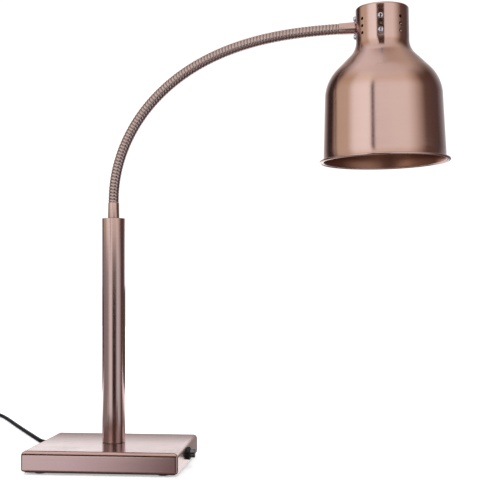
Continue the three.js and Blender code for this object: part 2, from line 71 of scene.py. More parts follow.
SHADE_BODY_RADIUS, SHADE_RIM_RADIUS, FLANGE_DROP = 77.5, 80.8, 203.0
BEAD_RADIUS, BEAD_CENTRE = 1.6, 84.7
HOLE_MIDDLE, HOLE_PITCH, VENT_RADIUS = 27.7, 9.3, 2.2
REAR_VENTS_RISE = 3.0  # the rear vents sit this much higher than the front ones
SCREW_HOLE_RADIUS, STUB_HOLE_RADIUS = 2.3, 5.3
ARM_DROP, ARM_SCREW_SPACING = 24.3, 12.0
GLAND = (-60.0, BASE_DEPTH / 2, 15.5)
GLAND_LENGTH = 26.0
CORD_RADIUS = 3.25
COIL_CENTRE = (-404.0, 521.0)
PLUG_BACK = (-442.0, 476.0, 18.8)
SWITCH = (BASE_WIDTH / 2, -12.0, 19.6)
CAMERA_PLACE = (0.3197, -1.4267, 0.2481)  # metres
CAMERA_BEARING = 5.71  # degrees about +Z
CAMERA_LENS, CAMERA_SENSOR, CAMERA_SHIFT = 78, 36, 0.0972


# ---------------------------------------------------------------- camera
def make_camera():
    data = bpy.data.cameras.new("camera")
    data.lens = CAMERA_LENS
    data.sensor_width = CAMERA_SENSOR
    data.shift_y = CAMERA_SHIFT
    camera = bpy.data.objects.new("camera", data)
    camera.location = CAMERA_PLACE
    camera.rotation_euler = (math.radians(90), 0, math.radians(CAMERA_BEARING))
    bpy.context.scene.collection.objects.link(camera)
    bpy.context.scene.camera = camera


make_camera()


# ---------------------------------------------------------------- node materials
class Nodes:
    """A short way to write a node tree: `feed` links or sets a socket, `add` returns the node that it makes,
    and the other calls return what their new node puts out."""

    def __init__(self, tree):
        self.tree = tree
        tree.nodes.clear()

    def add(self, kind, settings=None, **inputs):
        node = self.tree.nodes.new(kind)
        for key, value in (settings or {}).items():
            setattr(node, key, value)
        for key, value in inputs.items():
            self.feed(node.inputs[key.replace("_", " ")], value)
        return node

    def feed(self, socket, value):
        if isinstance(value, bpy.types.NodeSocket):
            self.tree.links.new(value, socket)
        elif isinstance(value, bpy.types.Node):
            self.tree.links.new(value.outputs[0], socket)
        else:
            socket.default_value = value

    def math(self, operation, a, b=0.0, clamp=False):
        node = self.tree.nodes.new("ShaderNodeMath")
        node.operation = operation
        node.use_clamp = clamp
        self.feed(node.inputs[0], a)
        self.feed(node.inputs[1], b)
        return node.outputs[0]

    def coordinates(self, kind="Object"):
        return self.add("ShaderNodeTexCoord").outputs[kind]

    def split(self, vector):
        return self.add("ShaderNodeSeparateXYZ", Vector=vector).outputs

    def scaled(self, vector, scale):
        return self.add("ShaderNodeMapping", Vector=vector, Scale=scale).outputs[0]

    def noise(self, vector, scale=1.0, detail=2.0, roughness=0.5):
        sizes = {"Scale": scale, "Detail": detail, "Roughness": roughness}
        return self.add("ShaderNodeTexNoise", Vector=vector, **sizes).outputs["Fac"]

    def span(self, value, low, high, out_low, out_high):
        node = self.add("ShaderNodeMapRange")
        for socket, number in zip(node.inputs, (value, low, high, out_low, out_high)):
            self.feed(socket, number)
        return node.outputs[0]

    def tint(self, factor, a, b):
        node = self.tree.nodes.new("ShaderNodeMix")
        node.data_type = "RGBA"
        self.feed(node.inputs[0], factor)
        self.feed(node.inputs[6], a)
        self.feed(node.inputs[7], b)
        return node.outputs[2]

    def ramp(self, factor, stops):
        node = self.add("ShaderNodeValToRGB", Fac=factor)
        elements = node.color_ramp.elements
        while len(elements) < len(stops):
            elements.new(0.5)
        for element, (place, color) in zip(elements, stops):
            element.position = place
            element.color = (*color, 1)
        return node.outputs[0]


def material(name, build):
    made = bpy.data.materials.new(name)
    made.use_nodes = True
    graph = Nodes(made.node_tree)
    shader = graph.add("ShaderNodeBsdfPrincipled")
    out = graph.add("ShaderNodeOutputMaterial")
    graph.feed(out.inputs["Surface"], shader.outputs[0])
    build(graph, shader)
    return made


COPPER = (0.51, 0.35, 0.325)
COPPER_DEEP = (0.485, 0.325, 0.30)


def brushed_copper(name, along, fine, tangent, roughness, strength, anisotropy=0.75):
    """Copper-tone plate brushed with fine parallel lines; `along` and `fine` scale the coordinates so that
    the lines are long one way and close together the other."""

    def build(graph, shader):
        place = graph.coordinates("UV" if tangent == "UV" else "Object")
        lines = graph.noise(graph.scaled(place, fine), detail=3, roughness=0.65)
        broad = graph.noise(graph.scaled(place, along), detail=2)
        clouds = graph.noise(graph.coordinates(), scale=14, detail=3)
        blend = graph.math("ADD", graph.math("MULTIPLY", lines, 0.75), graph.math("MULTIPLY", broad, 0.25))
        tone = graph.span(blend, 0.25, 0.75, 0, 1)
        graph.feed(shader.inputs["Base Color"], graph.tint(tone, (*COPPER_DEEP, 1), (*COPPER, 1)))
        shine = graph.math("ADD", graph.span(lines, 0.3, 0.7, roughness - 0.05, roughness + 0.05),
                           graph.span(clouds, 0.35, 0.7, -0.02, 0.03))
        graph.feed(shader.inputs["Roughness"], shine)
        shader.inputs["Metallic"].default_value = 1
        shader.inputs["Anisotropic"].default_value = anisotropy
        shader.inputs["Anisotropic Rotation"].default_value = 0.25
        if tangent == "UV":
            lie = {"direction_type": "UV_MAP", "uv_map": "grain"}
        else:
            lie = {"direction_type": "RADIAL", "axis": "Z"}
        graph.feed(shader.inputs["Tangent"], graph.add("ShaderNodeTangent", lie))
        bump = graph.add("ShaderNodeBump", Strength=strength, Distance=0.00004, Height=lines)
        graph.feed(shader.inputs["Normal"], bump)

    return material(name, build)


def speckled(
        name, color, roughness, metallic=0.0, scale=900.0, strength=0.1, spread=0.06, change=0.15, gloss=0.5):
    """Plastic, rubber, paint or plain metal: a grained surface whose colour and gloss vary a little."""

    def build(graph, shader):
        place = graph.coordinates()
        grain = graph.noise(place, scale=scale, detail=3)
        clouds = graph.noise(place, scale=35, detail=3)
        darker = tuple(c * (1 - change) for c in color)
        graph.feed(shader.inputs["Base Color"], graph.tint(clouds, (*darker, 1), (*color, 1)))
        shine = graph.math("ADD", graph.span(clouds, 0.3, 0.7, roughness - spread, roughness + spread),
                           graph.span(grain, 0.3, 0.7, -0.02, 0.02))
        graph.feed(shader.inputs["Roughness"], shine)
        shader.inputs["Metallic"].default_value = metallic
        shader.inputs["Specular IOR Level"].default_value = gloss
        bump = graph.add("ShaderNodeBump", Strength=strength, Distance=0.00005, Height=grain)
        graph.feed(shader.inputs["Normal"], bump)

    return material(name, build)


LINES_AROUND = {"along": (4, 4, 420), "fine": (7, 7, 1800)}
LINES_U = {"along": (4, 420, 1), "fine": (8, 1800, 1)}
copper_spun = brushed_copper(
    "copper spun", tangent="RADIAL", roughness=0.19, anisotropy=0.72, strength=0.03, **LINES_AROUND)
# the shade's inside: the same copper painted darker, as painted shade for the little light that reaches in
copper_inside_painted_shade = speckled("copper inside painted shade", (0.34, 0.15, 0.095), 0.34, 1.0, scale=500, strength=0.1)
copper_tube = brushed_copper("copper tube", tangent="RADIAL", roughness=0.2, strength=0.05, **LINES_AROUND)
copper_sheet = brushed_copper(
    "copper sheet", tangent="UV", roughness=0.19, anisotropy=0.6, strength=0.06, **LINES_U)
bright_steel = speckled("bright steel", (0.56, 0.57, 0.66), 0.2, 1.0, scale=500, strength=0.05)
plain_steel = speckled("plain steel", (0.50, 0.50, 0.51), 0.35, 1.0, scale=400)
cast_steel = speckled("cast steel", (0.13, 0.13, 0.135), 0.6, 0.7, scale=700, strength=0.5)
black_paint = speckled("black paint", (0.018, 0.018, 0.02), 0.5, scale=1400, strength=0.25)
black_plastic = speckled("black plastic", (0.008, 0.008, 0.010), 0.33, scale=2200, strength=0.12, gloss=0.3)
dark_chrome = speckled("dark chrome", (0.16, 0.165, 0.18), 0.12, 1.0, scale=300, strength=0.02, spread=0.03)
pad_rubber = speckled("pad rubber", (0.011, 0.011, 0.013), 0.7, scale=1600, strength=0.3, gloss=0.25)
cord_rubber = speckled("cord rubber", (0.0035, 0.0045, 0.013), 0.5, scale=1500, strength=0.2, gloss=0.16)
ceramic = speckled("ceramic", (0.72, 0.70, 0.65), 0.55, scale=900, strength=0.2, change=0.06)
brass = speckled("brass", (0.55, 0.42, 0.2), 0.28, 1.0, scale=400)
silicone = speckled("silicone", (0.42, 0.40, 0.35), 0.6, scale=1200)


def rib_copper():
    """The gooseneck: plated like the rest, with painted shade darkening it where one turn meets the next."""

    def build(graph, shader):
        groove = graph.add("ShaderNodeAttribute", {"attribute_name": "groove"}).outputs["Fac"]
        place = graph.coordinates()
        clouds = graph.noise(place, scale=30, detail=3)
        scuff = graph.noise(place, scale=1100, detail=2)
        unshaded_tint = graph.tint(clouds, (0.42, 0.31, 0.295, 1), (0.47, 0.36, 0.345, 1))
        # painted shade: the copper turns nearly black in the grooves between the turns
        painted_groove_shade = graph.tint(groove, unshaded_tint, (0.07, 0.035, 0.03, 1))
        graph.feed(shader.inputs["Base Color"], painted_groove_shade)
        shine = graph.math("ADD", graph.span(groove, 0, 1, 0.2, 0.5),
                           graph.span(scuff, 0.3, 0.7, -0.04, 0.06))
        graph.feed(shader.inputs["Roughness"], shine)
        shader.inputs["Metallic"].default_value = 1
        bump = graph.add("ShaderNodeBump", Strength=0.08, Distance=0.00004, Height=scuff)
        graph.feed(shader.inputs["Normal"], bump)

    return material("copper ribs", build)


copper_ribs = rib_copper()


def lamp_glass(name, color, metallic, roughness, coat):
    def build(graph, shader):
        place = graph.coordinates()
        clouds = graph.noise(place, scale=22, detail=3)
        stipple = graph.noise(place, scale=260, detail=1)
        darker = tuple(c * 0.85 for c in color)
        graph.feed(shader.inputs["Base Color"], graph.tint(clouds, (*darker, 1), (*color, 1)))
        graph.feed(shader.inputs["Roughness"], graph.span(clouds, 0.3, 0.7, roughness, roughness + 0.08))
        shader.inputs["Metallic"].default_value = metallic
        shader.inputs["Coat Weight"].default_value = coat
        shader.inputs["Coat Roughness"].default_value = 0.05
        bump = graph.add("ShaderNodeBump", Strength=0.15, Distance=0.0004, Height=stipple)
        graph.feed(shader.inputs["Normal"], bump)

    return material(name, build)


silvered_glass = lamp_glass("silvered glass", (0.62, 0.62, 0.64), 0.9, 0.18, 0.5)
lens_glass = lamp_glass("lens glass", (0.55, 0.53, 0.50), 0.35, 0.12, 1.0)


# ---------------------------------------------------------------- mesh helpers
def arc(centre_r, centre_z, radius, start, end, steps):
    """Points on an arc, angles in degrees from the +radius direction."""
    turns = [math.radians(start + (end - start) * i / steps) for i in range(steps + 1)]
    return [(centre_r + radius * math.cos(t), centre_z + radius * math.sin(t)) for t in turns]


def rounded(profile, radius, steps=4):
    """The profile with each of its inner points rounded off by about `radius`."""
    made = [profile[0]]
    for before, here, after in zip(profile, profile[1:], profile[2:]):
        a, p, b = Vector(before), Vector(here), Vector(after)
        reach_in = min(radius, (a - p).length * 0.45)
        reach_out = min(radius, (b - p).length * 0.45)
        start = p + (a - p).normalized() * reach_in
        end = p + (b - p).normalized() * reach_out
        for i in range(steps + 1):
            t = i / steps
            made.append(tuple(start * (1 - t) ** 2 + p * 2 * t * (1 - t) + end * t * t))
    made.append(profile[-1])
    return made


def finish_mesh(mesh, sharp=34):
    mesh.validate()
    work = bmesh.new()
    work.from_mesh(mesh)
    bmesh.ops.recalc_face_normals(work, faces=work.faces)
    work.to_mesh(mesh)
    work.free()
    for polygon in mesh.polygons:
        polygon.use_smooth = True
    mesh.set_sharp_from_angle(angle=math.radians(sharp))
    return mesh


def lathe_mesh(name, profile, sides=64, closed=False, sharp=34):
    """A profile of (radius, height) points in millimetres turned about Z, as a closed mesh in metres."""
    vertices, rings = [], []
    for radius, height in profile:
        if radius < 1e-6:
            rings.append([len(vertices)])
            vertices.append((0, 0, height * MM))
            continue
        first = len(vertices)
        rings.append(list(range(first, first + sides)))
        for i in range(sides):
            angle = 2 * math.pi * i / sides
            vertices.append((radius * MM * math.cos(angle), radius * MM * math.sin(angle), height * MM))
    faces = []
    pairs = list(zip(rings, rings[1:]))
    if closed:
        pairs.append((rings[-1], rings[0]))
    for low, high in pairs:
        for i in range(sides):
            j = (i + 1) % sides
            if len(low) == 1 and len(high) == 1:
                continue
            if len(low) == 1:
                faces.append((low[0], high[j], high[i]))
            elif len(high) == 1:
                faces.append((low[i], low[j], high[0]))
            else:
                faces.append((low[i], low[j], high[j], high[i]))
    mesh = bpy.data.meshes.new(name)
    mesh.from_pydata(vertices, [], faces)
    return finish_mesh(mesh, sharp)


def piece(name, mesh, skin, body, place=Matrix.Identity(4), replaces=()):
    mesh.materials.clear()
    mesh.materials.append(skin)
    made = bpy.data.objects.new(name, mesh)
    made.matrix_world = place
    bpy.context.scene.collection.objects.link(made)
    if body:
        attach(made, body)
    if replaces:
        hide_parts(*replaces)
    return made


def box_mesh(name, width, depth, height, centre=(0, 0, 0)):
    mesh = bpy.data.meshes.new(name)
    work = bmesh.new()
    bmesh.ops.create_cube(work, size=1)
    for vertex in work.verts:
        x, y, z = vertex.co
        vertex.co = Vector((x * width, y * depth, z * height)) + Vector(centre)
        vertex.co *= MM
    work.to_mesh(mesh)
    work.free()
    return mesh


def cut_away(mesh, tools):
    """The mesh less the tool meshes, all in the same frame."""
    target = bpy.data.objects.new("cut_target", mesh)
    bpy.context.scene.collection.objects.link(target)
    made_tools = []
    for tool in tools:
        cutter = bpy.data.objects.new("cutter", tool)
        bpy.context.scene.collection.objects.link(cutter)
        modifier = target.modifiers.new("cut", "BOOLEAN")
        modifier.operation = "DIFFERENCE"
        modifier.solver = "EXACT"
        modifier.object = cutter
        made_tools.append(cutter)
    bpy.context.view_layer.update()
    evaluated = target.evaluated_get(bpy.context.evaluated_depsgraph_get())
    result = bpy.data.meshes.new_from_object(evaluated)
    for made in [target, *made_tools]:
        bpy.data.objects.remove(made)
    return result


def join_meshes(name, meshes):
    work = bmesh.new()
    for mesh in meshes:
        work.from_mesh(mesh)
    joined = bpy.data.meshes.new(name)
    work.to_mesh(joined)
    work.free()
    return joined


def at(x, y, z):
    return Matrix.Translation((x * MM, y * MM, z * MM))


def turn(angle, axis):
    return Matrix.Rotation(math.radians(angle), 4, axis)


# ---------------------------------------------------------------- mains cord
def cord_route():
    """From the gland's nose over the table to the coil, round its turns and into the plug's back."""
    gx, gy, gz = GLAND
    start = gy + GLAND_LENGTH + GAP
    lie = CORD_RADIUS + 0.15
    route = [
        (gx, start, gz), (gx, start + 4, gz), (gx, start + 11, gz - 1.6), (gx - 2, start + 21, gz - 5),
        (gx - 8.5, start + 32, gz - 9.6), (gx - 20.5, start + 39.5, lie + 0.4), (gx - 37, start + 42, lie),
        (gx - 54, start + 43, lie), (gx - 71, start + 45.5, lie), (-146, 172.5, lie), (-158.5, 184, lie),
        (-168.5, 201, lie), (-187, 235, lie), (-223.5, 302, lie), (-262, 374, lie), (-300, 446, lie),
        (-320, 481, lie), (-337, 507.5, lie), (-347, 523, lie),
    ]
    cx, cy = COIL_CENTRE
    outer, inner = 43.0, 29.6
    rise = 6.75
    # each row: turns made, radius and height where the row ends; the first turn starts at `bearing`
    bearing = math.radians(38)
    stages = [
        (0.0, outer + 3.2, 0), (0.12, outer, 0), (2.0, inner, 0), (0.3, inner, rise), (1.95, outer, rise),
        (0.36, outer - 1, 2 * rise), (0.55, outer - 4, 2 * rise),
    ]
    turned, radius, height = 0.0, stages[0][1], 0.0
    for turns, end_radius, end_height in stages:
        steps = max(1, round(turns * 16))
        for i in range(1, steps + 1):
            t = i / steps
            ease = t * t * (3 - 2 * t) if end_height != height else t
            angle = bearing + 2 * math.pi * (turned + turns * t)
            r = radius + (end_radius - radius) * t
            z = lie + height + (end_height - height) * ease
            route.append((cx + r * math.cos(angle), cy + r * math.sin(angle), z))
        turned, radius, height = turned + turns, end_radius, end_height
    px, py, pz = PLUG_BACK
    route += [(px, cy - 8, lie + 2 * rise + 0.6), (px, py + 28, pz - 0.3), (px, py + 18, pz)]
    return [Vector(q) * MM for q in route]


def make_cord():
    route = cord_route()
    curve = bpy.data.curves.new("mains_lead", "CURVE")
    curve.dimensions = "3D"
    curve.bevel_depth = CORD_RADIUS * MM
    curve.bevel_resolution = 5
    curve.use_fill_caps = True
    curve.resolution_u = 5
    spline = curve.splines.new("BEZIER")
    spline.bezier_points.add(len(route) - 1)
    for point, place in zip(spline.bezier_points, route):
        point.co = place
        point.handle_left_type = point.handle_right_type = "AUTO"
    curve.materials.append(cord_rubber)
    lead = bpy.data.objects.new("mains_lead", curve)
    bpy.context.scene.collection.objects.link(lead)
    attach(lead, "stand")
    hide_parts("mains_cord", "cord_coil", "cord_tail")
    return lead, route


lead, lead_route = make_cord()


def make_plug():
    place = at(*PLUG_BACK) @ turn(90, "X")
    nose, length, radius = 20.0, 34.0, 18.5
    grip = []
    for i in range(5):
        z = -16.5 + i * 3.2
        crest, groove = 4.35 + i * 0.12, 3.9 + i * 0.12
        grip += [(crest, z), (crest, z + 1.9), (groove, z + 2.2), (groove, z + 2.9)]
    outline = [
        (0, -nose), (4.0, -nose), (4.25, -18), *grip, (5.4, -0.6), (9, 1.2), (13.5, 7), (15.2, 11),
        (radius - 0.5, 14), (radius, 17), (radius, 22), (radius - 0.7, 22.6), (radius - 0.7, 25),
        (radius, 25.6), (radius, length - 1), (radius - 1, length), (0, length),
    ]
    shell = lathe_mesh("plug_shell", rounded(outline, 0.5, 2), 72)
    body = piece("plug_shell", shell, black_plastic, "stand", place, ["plug_body"])
    seat, end = length + GAP, length + 19
    pin = [(0, seat), (2.4, seat), (2.4, end - 2.4), (2.1, end - 1.1), (1.3, end - 0.2), (0, end)]
    pins = []
    for i, x in enumerate((-9.5, 9.5)):
        name = f"plug_blade_{i + 1}"
        spot = place @ at(x, 0, 0)
        pins.append(piece(name, lathe_mesh(name, pin, 32), bright_steel, "stand", spot,
                          [f"plug_pin_{i + 1}"]))
    return [body, *pins]


def make_tie():
    """A flat strap round the coil's bundle."""
    bearing = math.radians(292)
    half_width, half_height, corner = 11.4, 10.9, 5.5
    centre_radius, centre_height = 36.2, 11.0
    outline = []
    for cx, cz, start in ((1, -1, -90), (1, 1, 0), (-1, 1, 90), (-1, -1, 180)):
        outline += arc(cx * (half_width - corner), cz * (half_height - corner), corner, start, start + 90, 5)
    thick, wide = 0.8, 8.0
    work = bmesh.new()
    rows = []
    for across, inset in ((-wide / 2, 0), (wide / 2, 0), (wide / 2, thick), (-wide / 2, thick)):
        row = []
        for x, z in outline:
            length = math.hypot(x, z)
            row.append(work.verts.new(Vector((x - x / length * inset, across, z - z / length * inset)) * MM))
        rows.append(row)
    count = len(outline)
    for a, b in zip(rows, rows[1:] + rows[:1]):
        for i in range(count):
            j = (i + 1) % count
            work.faces.new((a[i], a[j], b[j], b[i]))
    mesh = bpy.data.meshes.new("coil_tie")
    work.to_mesh(mesh)
    work.free()
    finish_mesh(mesh, 40)
    cx, cy = COIL_CENTRE
    place = at(cx, cy, 0) @ Matrix.Rotation(bearing, 4, "Z") @ at(centre_radius, 0, centre_height)
    return piece("coil_tie", mesh, black_plastic, "stand", place)


lead_pieces = [*make_plug(), make_tie()]


# ---------------------------------------------------------------- base
def ring_points(inset, height):
    """A rounded rectangle, `inset` inside the cover's outline, as points in millimetres."""
    corner = max(CORNER_ROUND - inset, 0.7)
    half_w, half_d = BASE_WIDTH / 2 - inset - corner, BASE_DEPTH / 2 - inset - corner
    points = []
    for sx, sy, start in ((1, -1, -90), (1, 1, 0), (-1, 1, 90), (-1, -1, 180)):
        points += [(x, y, height) for x, y in arc(sx * half_w, sy * half_d, corner, start, start + 90, 6)]
    return points


def grain_uv(mesh):
    """A UV map whose U runs along the brushed lines: along X, or down the two side faces."""
    layer = mesh.uv_layers.new(name="grain")
    for polygon in mesh.polygons:
        side = abs(polygon.normal.x) > 0.75
        flat = abs(polygon.normal.z) > abs(polygon.normal.y)
        for index in polygon.loop_indices:
            x, y, z = mesh.vertices[mesh.loops[index].vertex_index].co
            if side:
                layer.data[index].uv = (z, y)
            else:
                layer.data[index].uv = (x, y if flat else z)


def make_cover():
    low, high, edge, under = COVER_BOTTOM, BASE_TOP, EDGE_ROUND, LOWER_ROUND
    outer = [(LIP, low), (under + 0.5, low)]
    outer += [(under - r, low + under + z) for r, z in arc(0, 0, under, -90, 0, 6)]
    outer += [(edge - r, high - edge + z) for r, z in arc(0, 0, edge, 0, 90, 10)]
    outer += [(edge + 0.6, high), (40, high)]
    bend, lower_bend = edge - SHEET, under - SHEET
    inner = [(40, high - SHEET), (edge + 0.6, high - SHEET)]
    inner += [(edge - r, high - edge + z) for r, z in arc(0, 0, bend, 90, 0, 4)]
    inner += [(under - r, low + under + z) for r, z in arc(0, 0, lower_bend, 0, -90, 4)]
    inner += [(LIP, low + SHEET)]
    rings = [ring_points(inset, height) for inset, height in outer + inner]
    vertices = [Vector(p) * MM for ring in rings for p in ring]
    size = len(rings[0])
    faces = []
    top = len(outer)
    for k in range(len(rings)):
        if k == top - 1:
            faces.append([k * size + i for i in range(size)])
            faces.append([(k + 1) * size + i for i in range(size)][::-1])
            continue
        after = (k + 1) % len(rings)
        for i in range(size):
            j = (i + 1) % size
            faces.append((k * size + i, k * size + j, after * size + j, after * size + i))
    mesh = bpy.data.meshes.new("cover_skin")
    mesh.from_pydata(vertices, [], faces)
    finish_mesh(mesh, 50)
    grain_uv(mesh)
    cover = piece("cover_skin", mesh, copper_sheet, "stand", replaces=["base_cover"])
    weighted = cover.modifiers.new("even shading", "WEIGHTED_NORMAL")
    weighted.keep_sharp = True
    weighted.weight = 100


def cross_recess(depth, reach, top):
    """Two crossed bars with tapered ends that cut a cross slot into a screw's head."""
    bars = []
    for angle in (0, 90):
        bar = box_mesh("bar", reach * 2, 0.85, depth, (0, 0, top - depth / 2))
        for vertex in bar.vertices:
            if vertex.co.z < (top - depth / 2) * MM:
                vertex.co.x *= 0.35
        bar.transform(turn(angle + 20, "Z"))
        bars.append(bar)
    return bars


def pan_screw_mesh():
    head = [(0, -8), (2, -8), (2, 0), (3.85, 0), (3.9, 0.5), *arc(0.9, 0.1, 3.0, 0, 62, 6)[1:], (0, 3.05)]
    return cut_away(lathe_mesh("screw", head, 48), cross_recess(1.9, 2.2, 3.3))


def make_base_details():
    plate_low = COVER_BOTTOM - GAP - 1
    foot = rounded([(0, 0), (6.6, 0), (7.5, 0.8), (7.5, 2.2), (0, 2.2)], 0.35, 3)
    for i in range(1, 5):
        low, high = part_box(f"rubber_foot_{i}")
        middle = (low + high) / 2
        spot = Matrix.Translation((middle.x, middle.y, 0))
        mesh = lathe_mesh("foot_pad", foot, 56)
        piece(f"foot_pad_{i}", mesh, pad_rubber, "stand", spot, [f"rubber_foot_{i}"])
        low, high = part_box(f"plate_screw_{i}")
        middle = (low + high) / 2
        end = plate_low + 6
        shape = [(0, plate_low), (2.8, plate_low), (1.5, plate_low + 1), (1.5, end), (0, end)]
        bars = cross_recess(1.6, 1.7, plate_low + 0.9)
        mesh = cut_away(lathe_mesh("plate_screw", shape, 40), bars)
        piece(f"cover_screw_{i}", finish_mesh(mesh), plain_steel, "stand",
              Matrix.Translation((middle.x, middle.y, 0)), [f"plate_screw_{i}"])


def make_switch():
    place = at(*SWITCH) @ turn(90, "Y")
    bezel = [
        (6.5, -12), (7.9, -12), (7.9, 0.3), (9.0, 0.3), (9.1, 0.9), (9.1, 4.3), (8.8, 4.9), (8.2, 5.2),
        (7.4, 5.2), (6.9, 4.9), (6.5, 4.3),
    ]
    collar = lathe_mesh("switch_collar", rounded(bezel, 0.2, 2), 72, True)
    piece("switch_collar", collar, black_plastic, "stand", place, ["switch_bezel"])
    button = [(0, -5), (6.2, -5), (6.2, 10.4), *arc(5.0, 10.5, 1.2, 0, 80, 5), (3.2, 11.95), (0, 12.1)]
    plunger = lathe_mesh("switch_plunger", button, 72)
    piece("switch_plunger", plunger, dark_chrome, "button", place, ["switch_button"])


def make_gland():
    place = at(*GLAND) @ turn(-90, "X")
    ribs = []
    for i in range(6):
        z = 5.0 + i * 3.3
        radius = 6.4 - i * 0.33
        ribs += [(radius, z), (radius - 0.1, z + 1.9), (radius - 1.0, z + 2.1), (radius - 1.05, z + 3.1)]
    outline = [(0, -6), (5.9, -6), (5.9, GAP), (8, GAP), (8, 2.4), (7.2, 3.3), (6.6, 3.6), *ribs,
               (4.35, GLAND_LENGTH - 0.8), (4.1, GLAND_LENGTH), (0, GLAND_LENGTH)]
    relief = lathe_mesh("strain_relief", rounded(outline, 0.25, 2), 48)
    piece("strain_relief", relief, pad_rubber, "stand", place, ["cord_gland"])


make_cover()
make_base_details()
make_switch()
make_gland()


# ---------------------------------------------------------------- upright
def make_column():
    inner = COLUMN_RADIUS - COLUMN_WALL
    foot, top = (inner, COLUMN_FOOT), (inner, COLUMN_TOP)
    corners = [foot, (COLUMN_RADIUS, COLUMN_FOOT), (COLUMN_RADIUS, COLUMN_TOP), top]
    wall = [foot, *rounded(corners, 0.35, 3)[1:-1], top]
    piece("column_skin", lathe_mesh("column_skin", wall, 128, True), copper_tube, "stand",
          replaces=["column_tube"])
    plug = [(STUB_HOLE_RADIUS, COLUMN_TOP - 10), (inner - 0.1, COLUMN_TOP - 10),
            (inner - 0.1, COLUMN_TOP - 0.3), (inner - 0.5, COLUMN_TOP), (STUB_HOLE_RADIUS, COLUMN_TOP)]
    piece("column_cap", lathe_mesh("column_cap", plug, 96, True), copper_tube, "stand",
          replaces=["column_top_plug"])


def ferrule_mesh(name, stub):
    edge, tip = FERRULE_RADIUS, FERRULE_TIP_RADIUS
    outline = [
        (3.5, -stub), (5, -stub), (5, 0), (edge - 0.5, 0), (edge, 0.5), (edge, 1.2),
        (tip, FERRULE_LENGTH - 0.6), (tip - 0.5, FERRULE_LENGTH), (3.5, FERRULE_LENGTH),
    ]
    return lathe_mesh(name, rounded(outline, 0.25, 2), 72, True)


make_column()
arm_turn = Matrix.Rotation(ARM_YAW, 4, "Z")
piece("sleeve_lower", ferrule_mesh("sleeve_lower", 18), copper_tube, "stand",
      arm_turn @ at(0, 0, COLUMN_TOP + GAP), ["lower_ferrule"])


# ---------------------------------------------------------------- gooseneck
def neck_turn(s):
    v = max(0.0, (s - NECK_STRAIGHT) / (NECK_LENGTH - NECK_STRAIGHT))
    return NECK_BEND * v - NECK_EASE * v**2 - NECK_SETTLE * v**3


NECK_STEP = 0.25
NECK_TABLE = [(0.0, NECK_START)]
for _i in range(int(NECK_LENGTH / NECK_STEP) + 1):
    _slope = math.radians(90 - neck_turn((_i + 0.5) * NECK_STEP))
    _x, _z = NECK_TABLE[-1]
    NECK_TABLE.append((_x + NECK_STEP * math.cos(_slope), _z + NECK_STEP * math.sin(_slope)))


def neck_frame(s):
    """The arm's centre point in millimetres, and the directions square to it: outward and sideways."""
    index = min(max(s / NECK_STEP, 0), len(NECK_TABLE) - 2)
    whole = int(index)
    part = index - whole
    (ax, az), (bx, bz) = NECK_TABLE[whole], NECK_TABLE[whole + 1]
    slope = math.radians(90 - neck_turn(s))
    point = arm_turn @ Vector((ax + (bx - ax) * part, 0, az + (bz - az) * part))
    along = arm_turn @ Vector((math.cos(slope), 0, math.sin(slope)))
    outward = arm_turn @ Vector((-math.sin(slope), 0, math.cos(slope)))
    return point, outward, along.cross(outward)


def rib_height(phase):
    """0 in the groove between two turns of the wound strip, 1 on a turn's crest."""
    return abs(math.sin(math.pi * phase)) ** 0.6


NECK_SIDES = 28
STEPS_PER_RIB = 8


def neck_mesh(name, start, end):
    """A closed length of the ribbed tube, its ribs one long helix."""
    count = round((end - start) / RIB_PITCH * STEPS_PER_RIB)
    vertices, faces, grooves = [], [], []

    def add_ring(s, in_bore):
        point, outward, sideways = neck_frame(s)
        first = len(vertices)
        for i in range(NECK_SIDES):
            angle = 2 * math.pi * i / NECK_SIDES
            height = rib_height(s / RIB_PITCH + i / NECK_SIDES)
            radius = NECK_BORE if in_bore else GROOVE_RADIUS + (CREST_RADIUS - GROOVE_RADIUS) * height
            way = outward * math.cos(angle) + sideways * math.sin(angle)
            vertices.append((point + way * radius) * MM)
            grooves.append(1 - height)
        return first

    rings = [add_ring(start + (end - start) * i / count, False) for i in range(count + 1)]
    bore = (end, (end * 3 + start) / 4, (end + start) / 2, (end + start * 3) / 4, start)
    rings += [add_ring(s, True) for s in bore]
    for low, high in zip(rings, rings[1:] + rings[:1]):
        for i in range(NECK_SIDES):
            j = (i + 1) % NECK_SIDES
            faces.append((low + i, low + j, high + j, high + i))
    mesh = bpy.data.meshes.new(name)
    mesh.from_pydata(vertices, [], faces)
    finish_mesh(mesh, 60)
    layer = mesh.attributes.new("groove", "FLOAT", "POINT")
    layer.data.foreach_set("value", np.array(grooves, np.float32))
    return mesh


def make_gooseneck():
    part = NECK_LENGTH / NECK_PARTS
    piece("ribs_foot", neck_mesh("ribs_foot", 0, part / 2), copper_ribs, "stand",
          replaces=["gooseneck_01"])
    for i in range(1, NECK_PARTS):
        middle = i * part
        mesh = neck_mesh(f"ribs_{i:02d}", middle - part / 2, middle + part / 2)
        made = piece(f"ribs_{i:02d}", mesh, copper_ribs, None,
                     replaces=[f"gooseneck_{i + 1:02d}"])
        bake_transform(made)
    piece("ribs_tip", neck_mesh("ribs_tip", NECK_LENGTH - part / 2, NECK_LENGTH), copper_ribs, "head")


make_gooseneck()

# ---------------------------------------------------------------- head
tip_point = neck_frame(NECK_LENGTH)[0]
HEAD_TURN = math.radians(90 - neck_turn(NECK_LENGTH))
REACH = SHADE_NECK_RADIUS + 2 * GAP + FERRULE_LENGTH
tip_flat = arm_turn.inverted() @ tip_point
head_place = arm_turn @ Matrix.Translation((
    (tip_flat.x + REACH * math.cos(HEAD_TURN) - ARM_DROP * math.sin(HEAD_TURN)) * MM,
    0,
    (tip_flat.z + REACH * math.sin(HEAD_TURN) + ARM_DROP * math.cos(HEAD_TURN)) * MM,
)) @ Matrix.Rotation(-HEAD_TURN, 4, "Y")


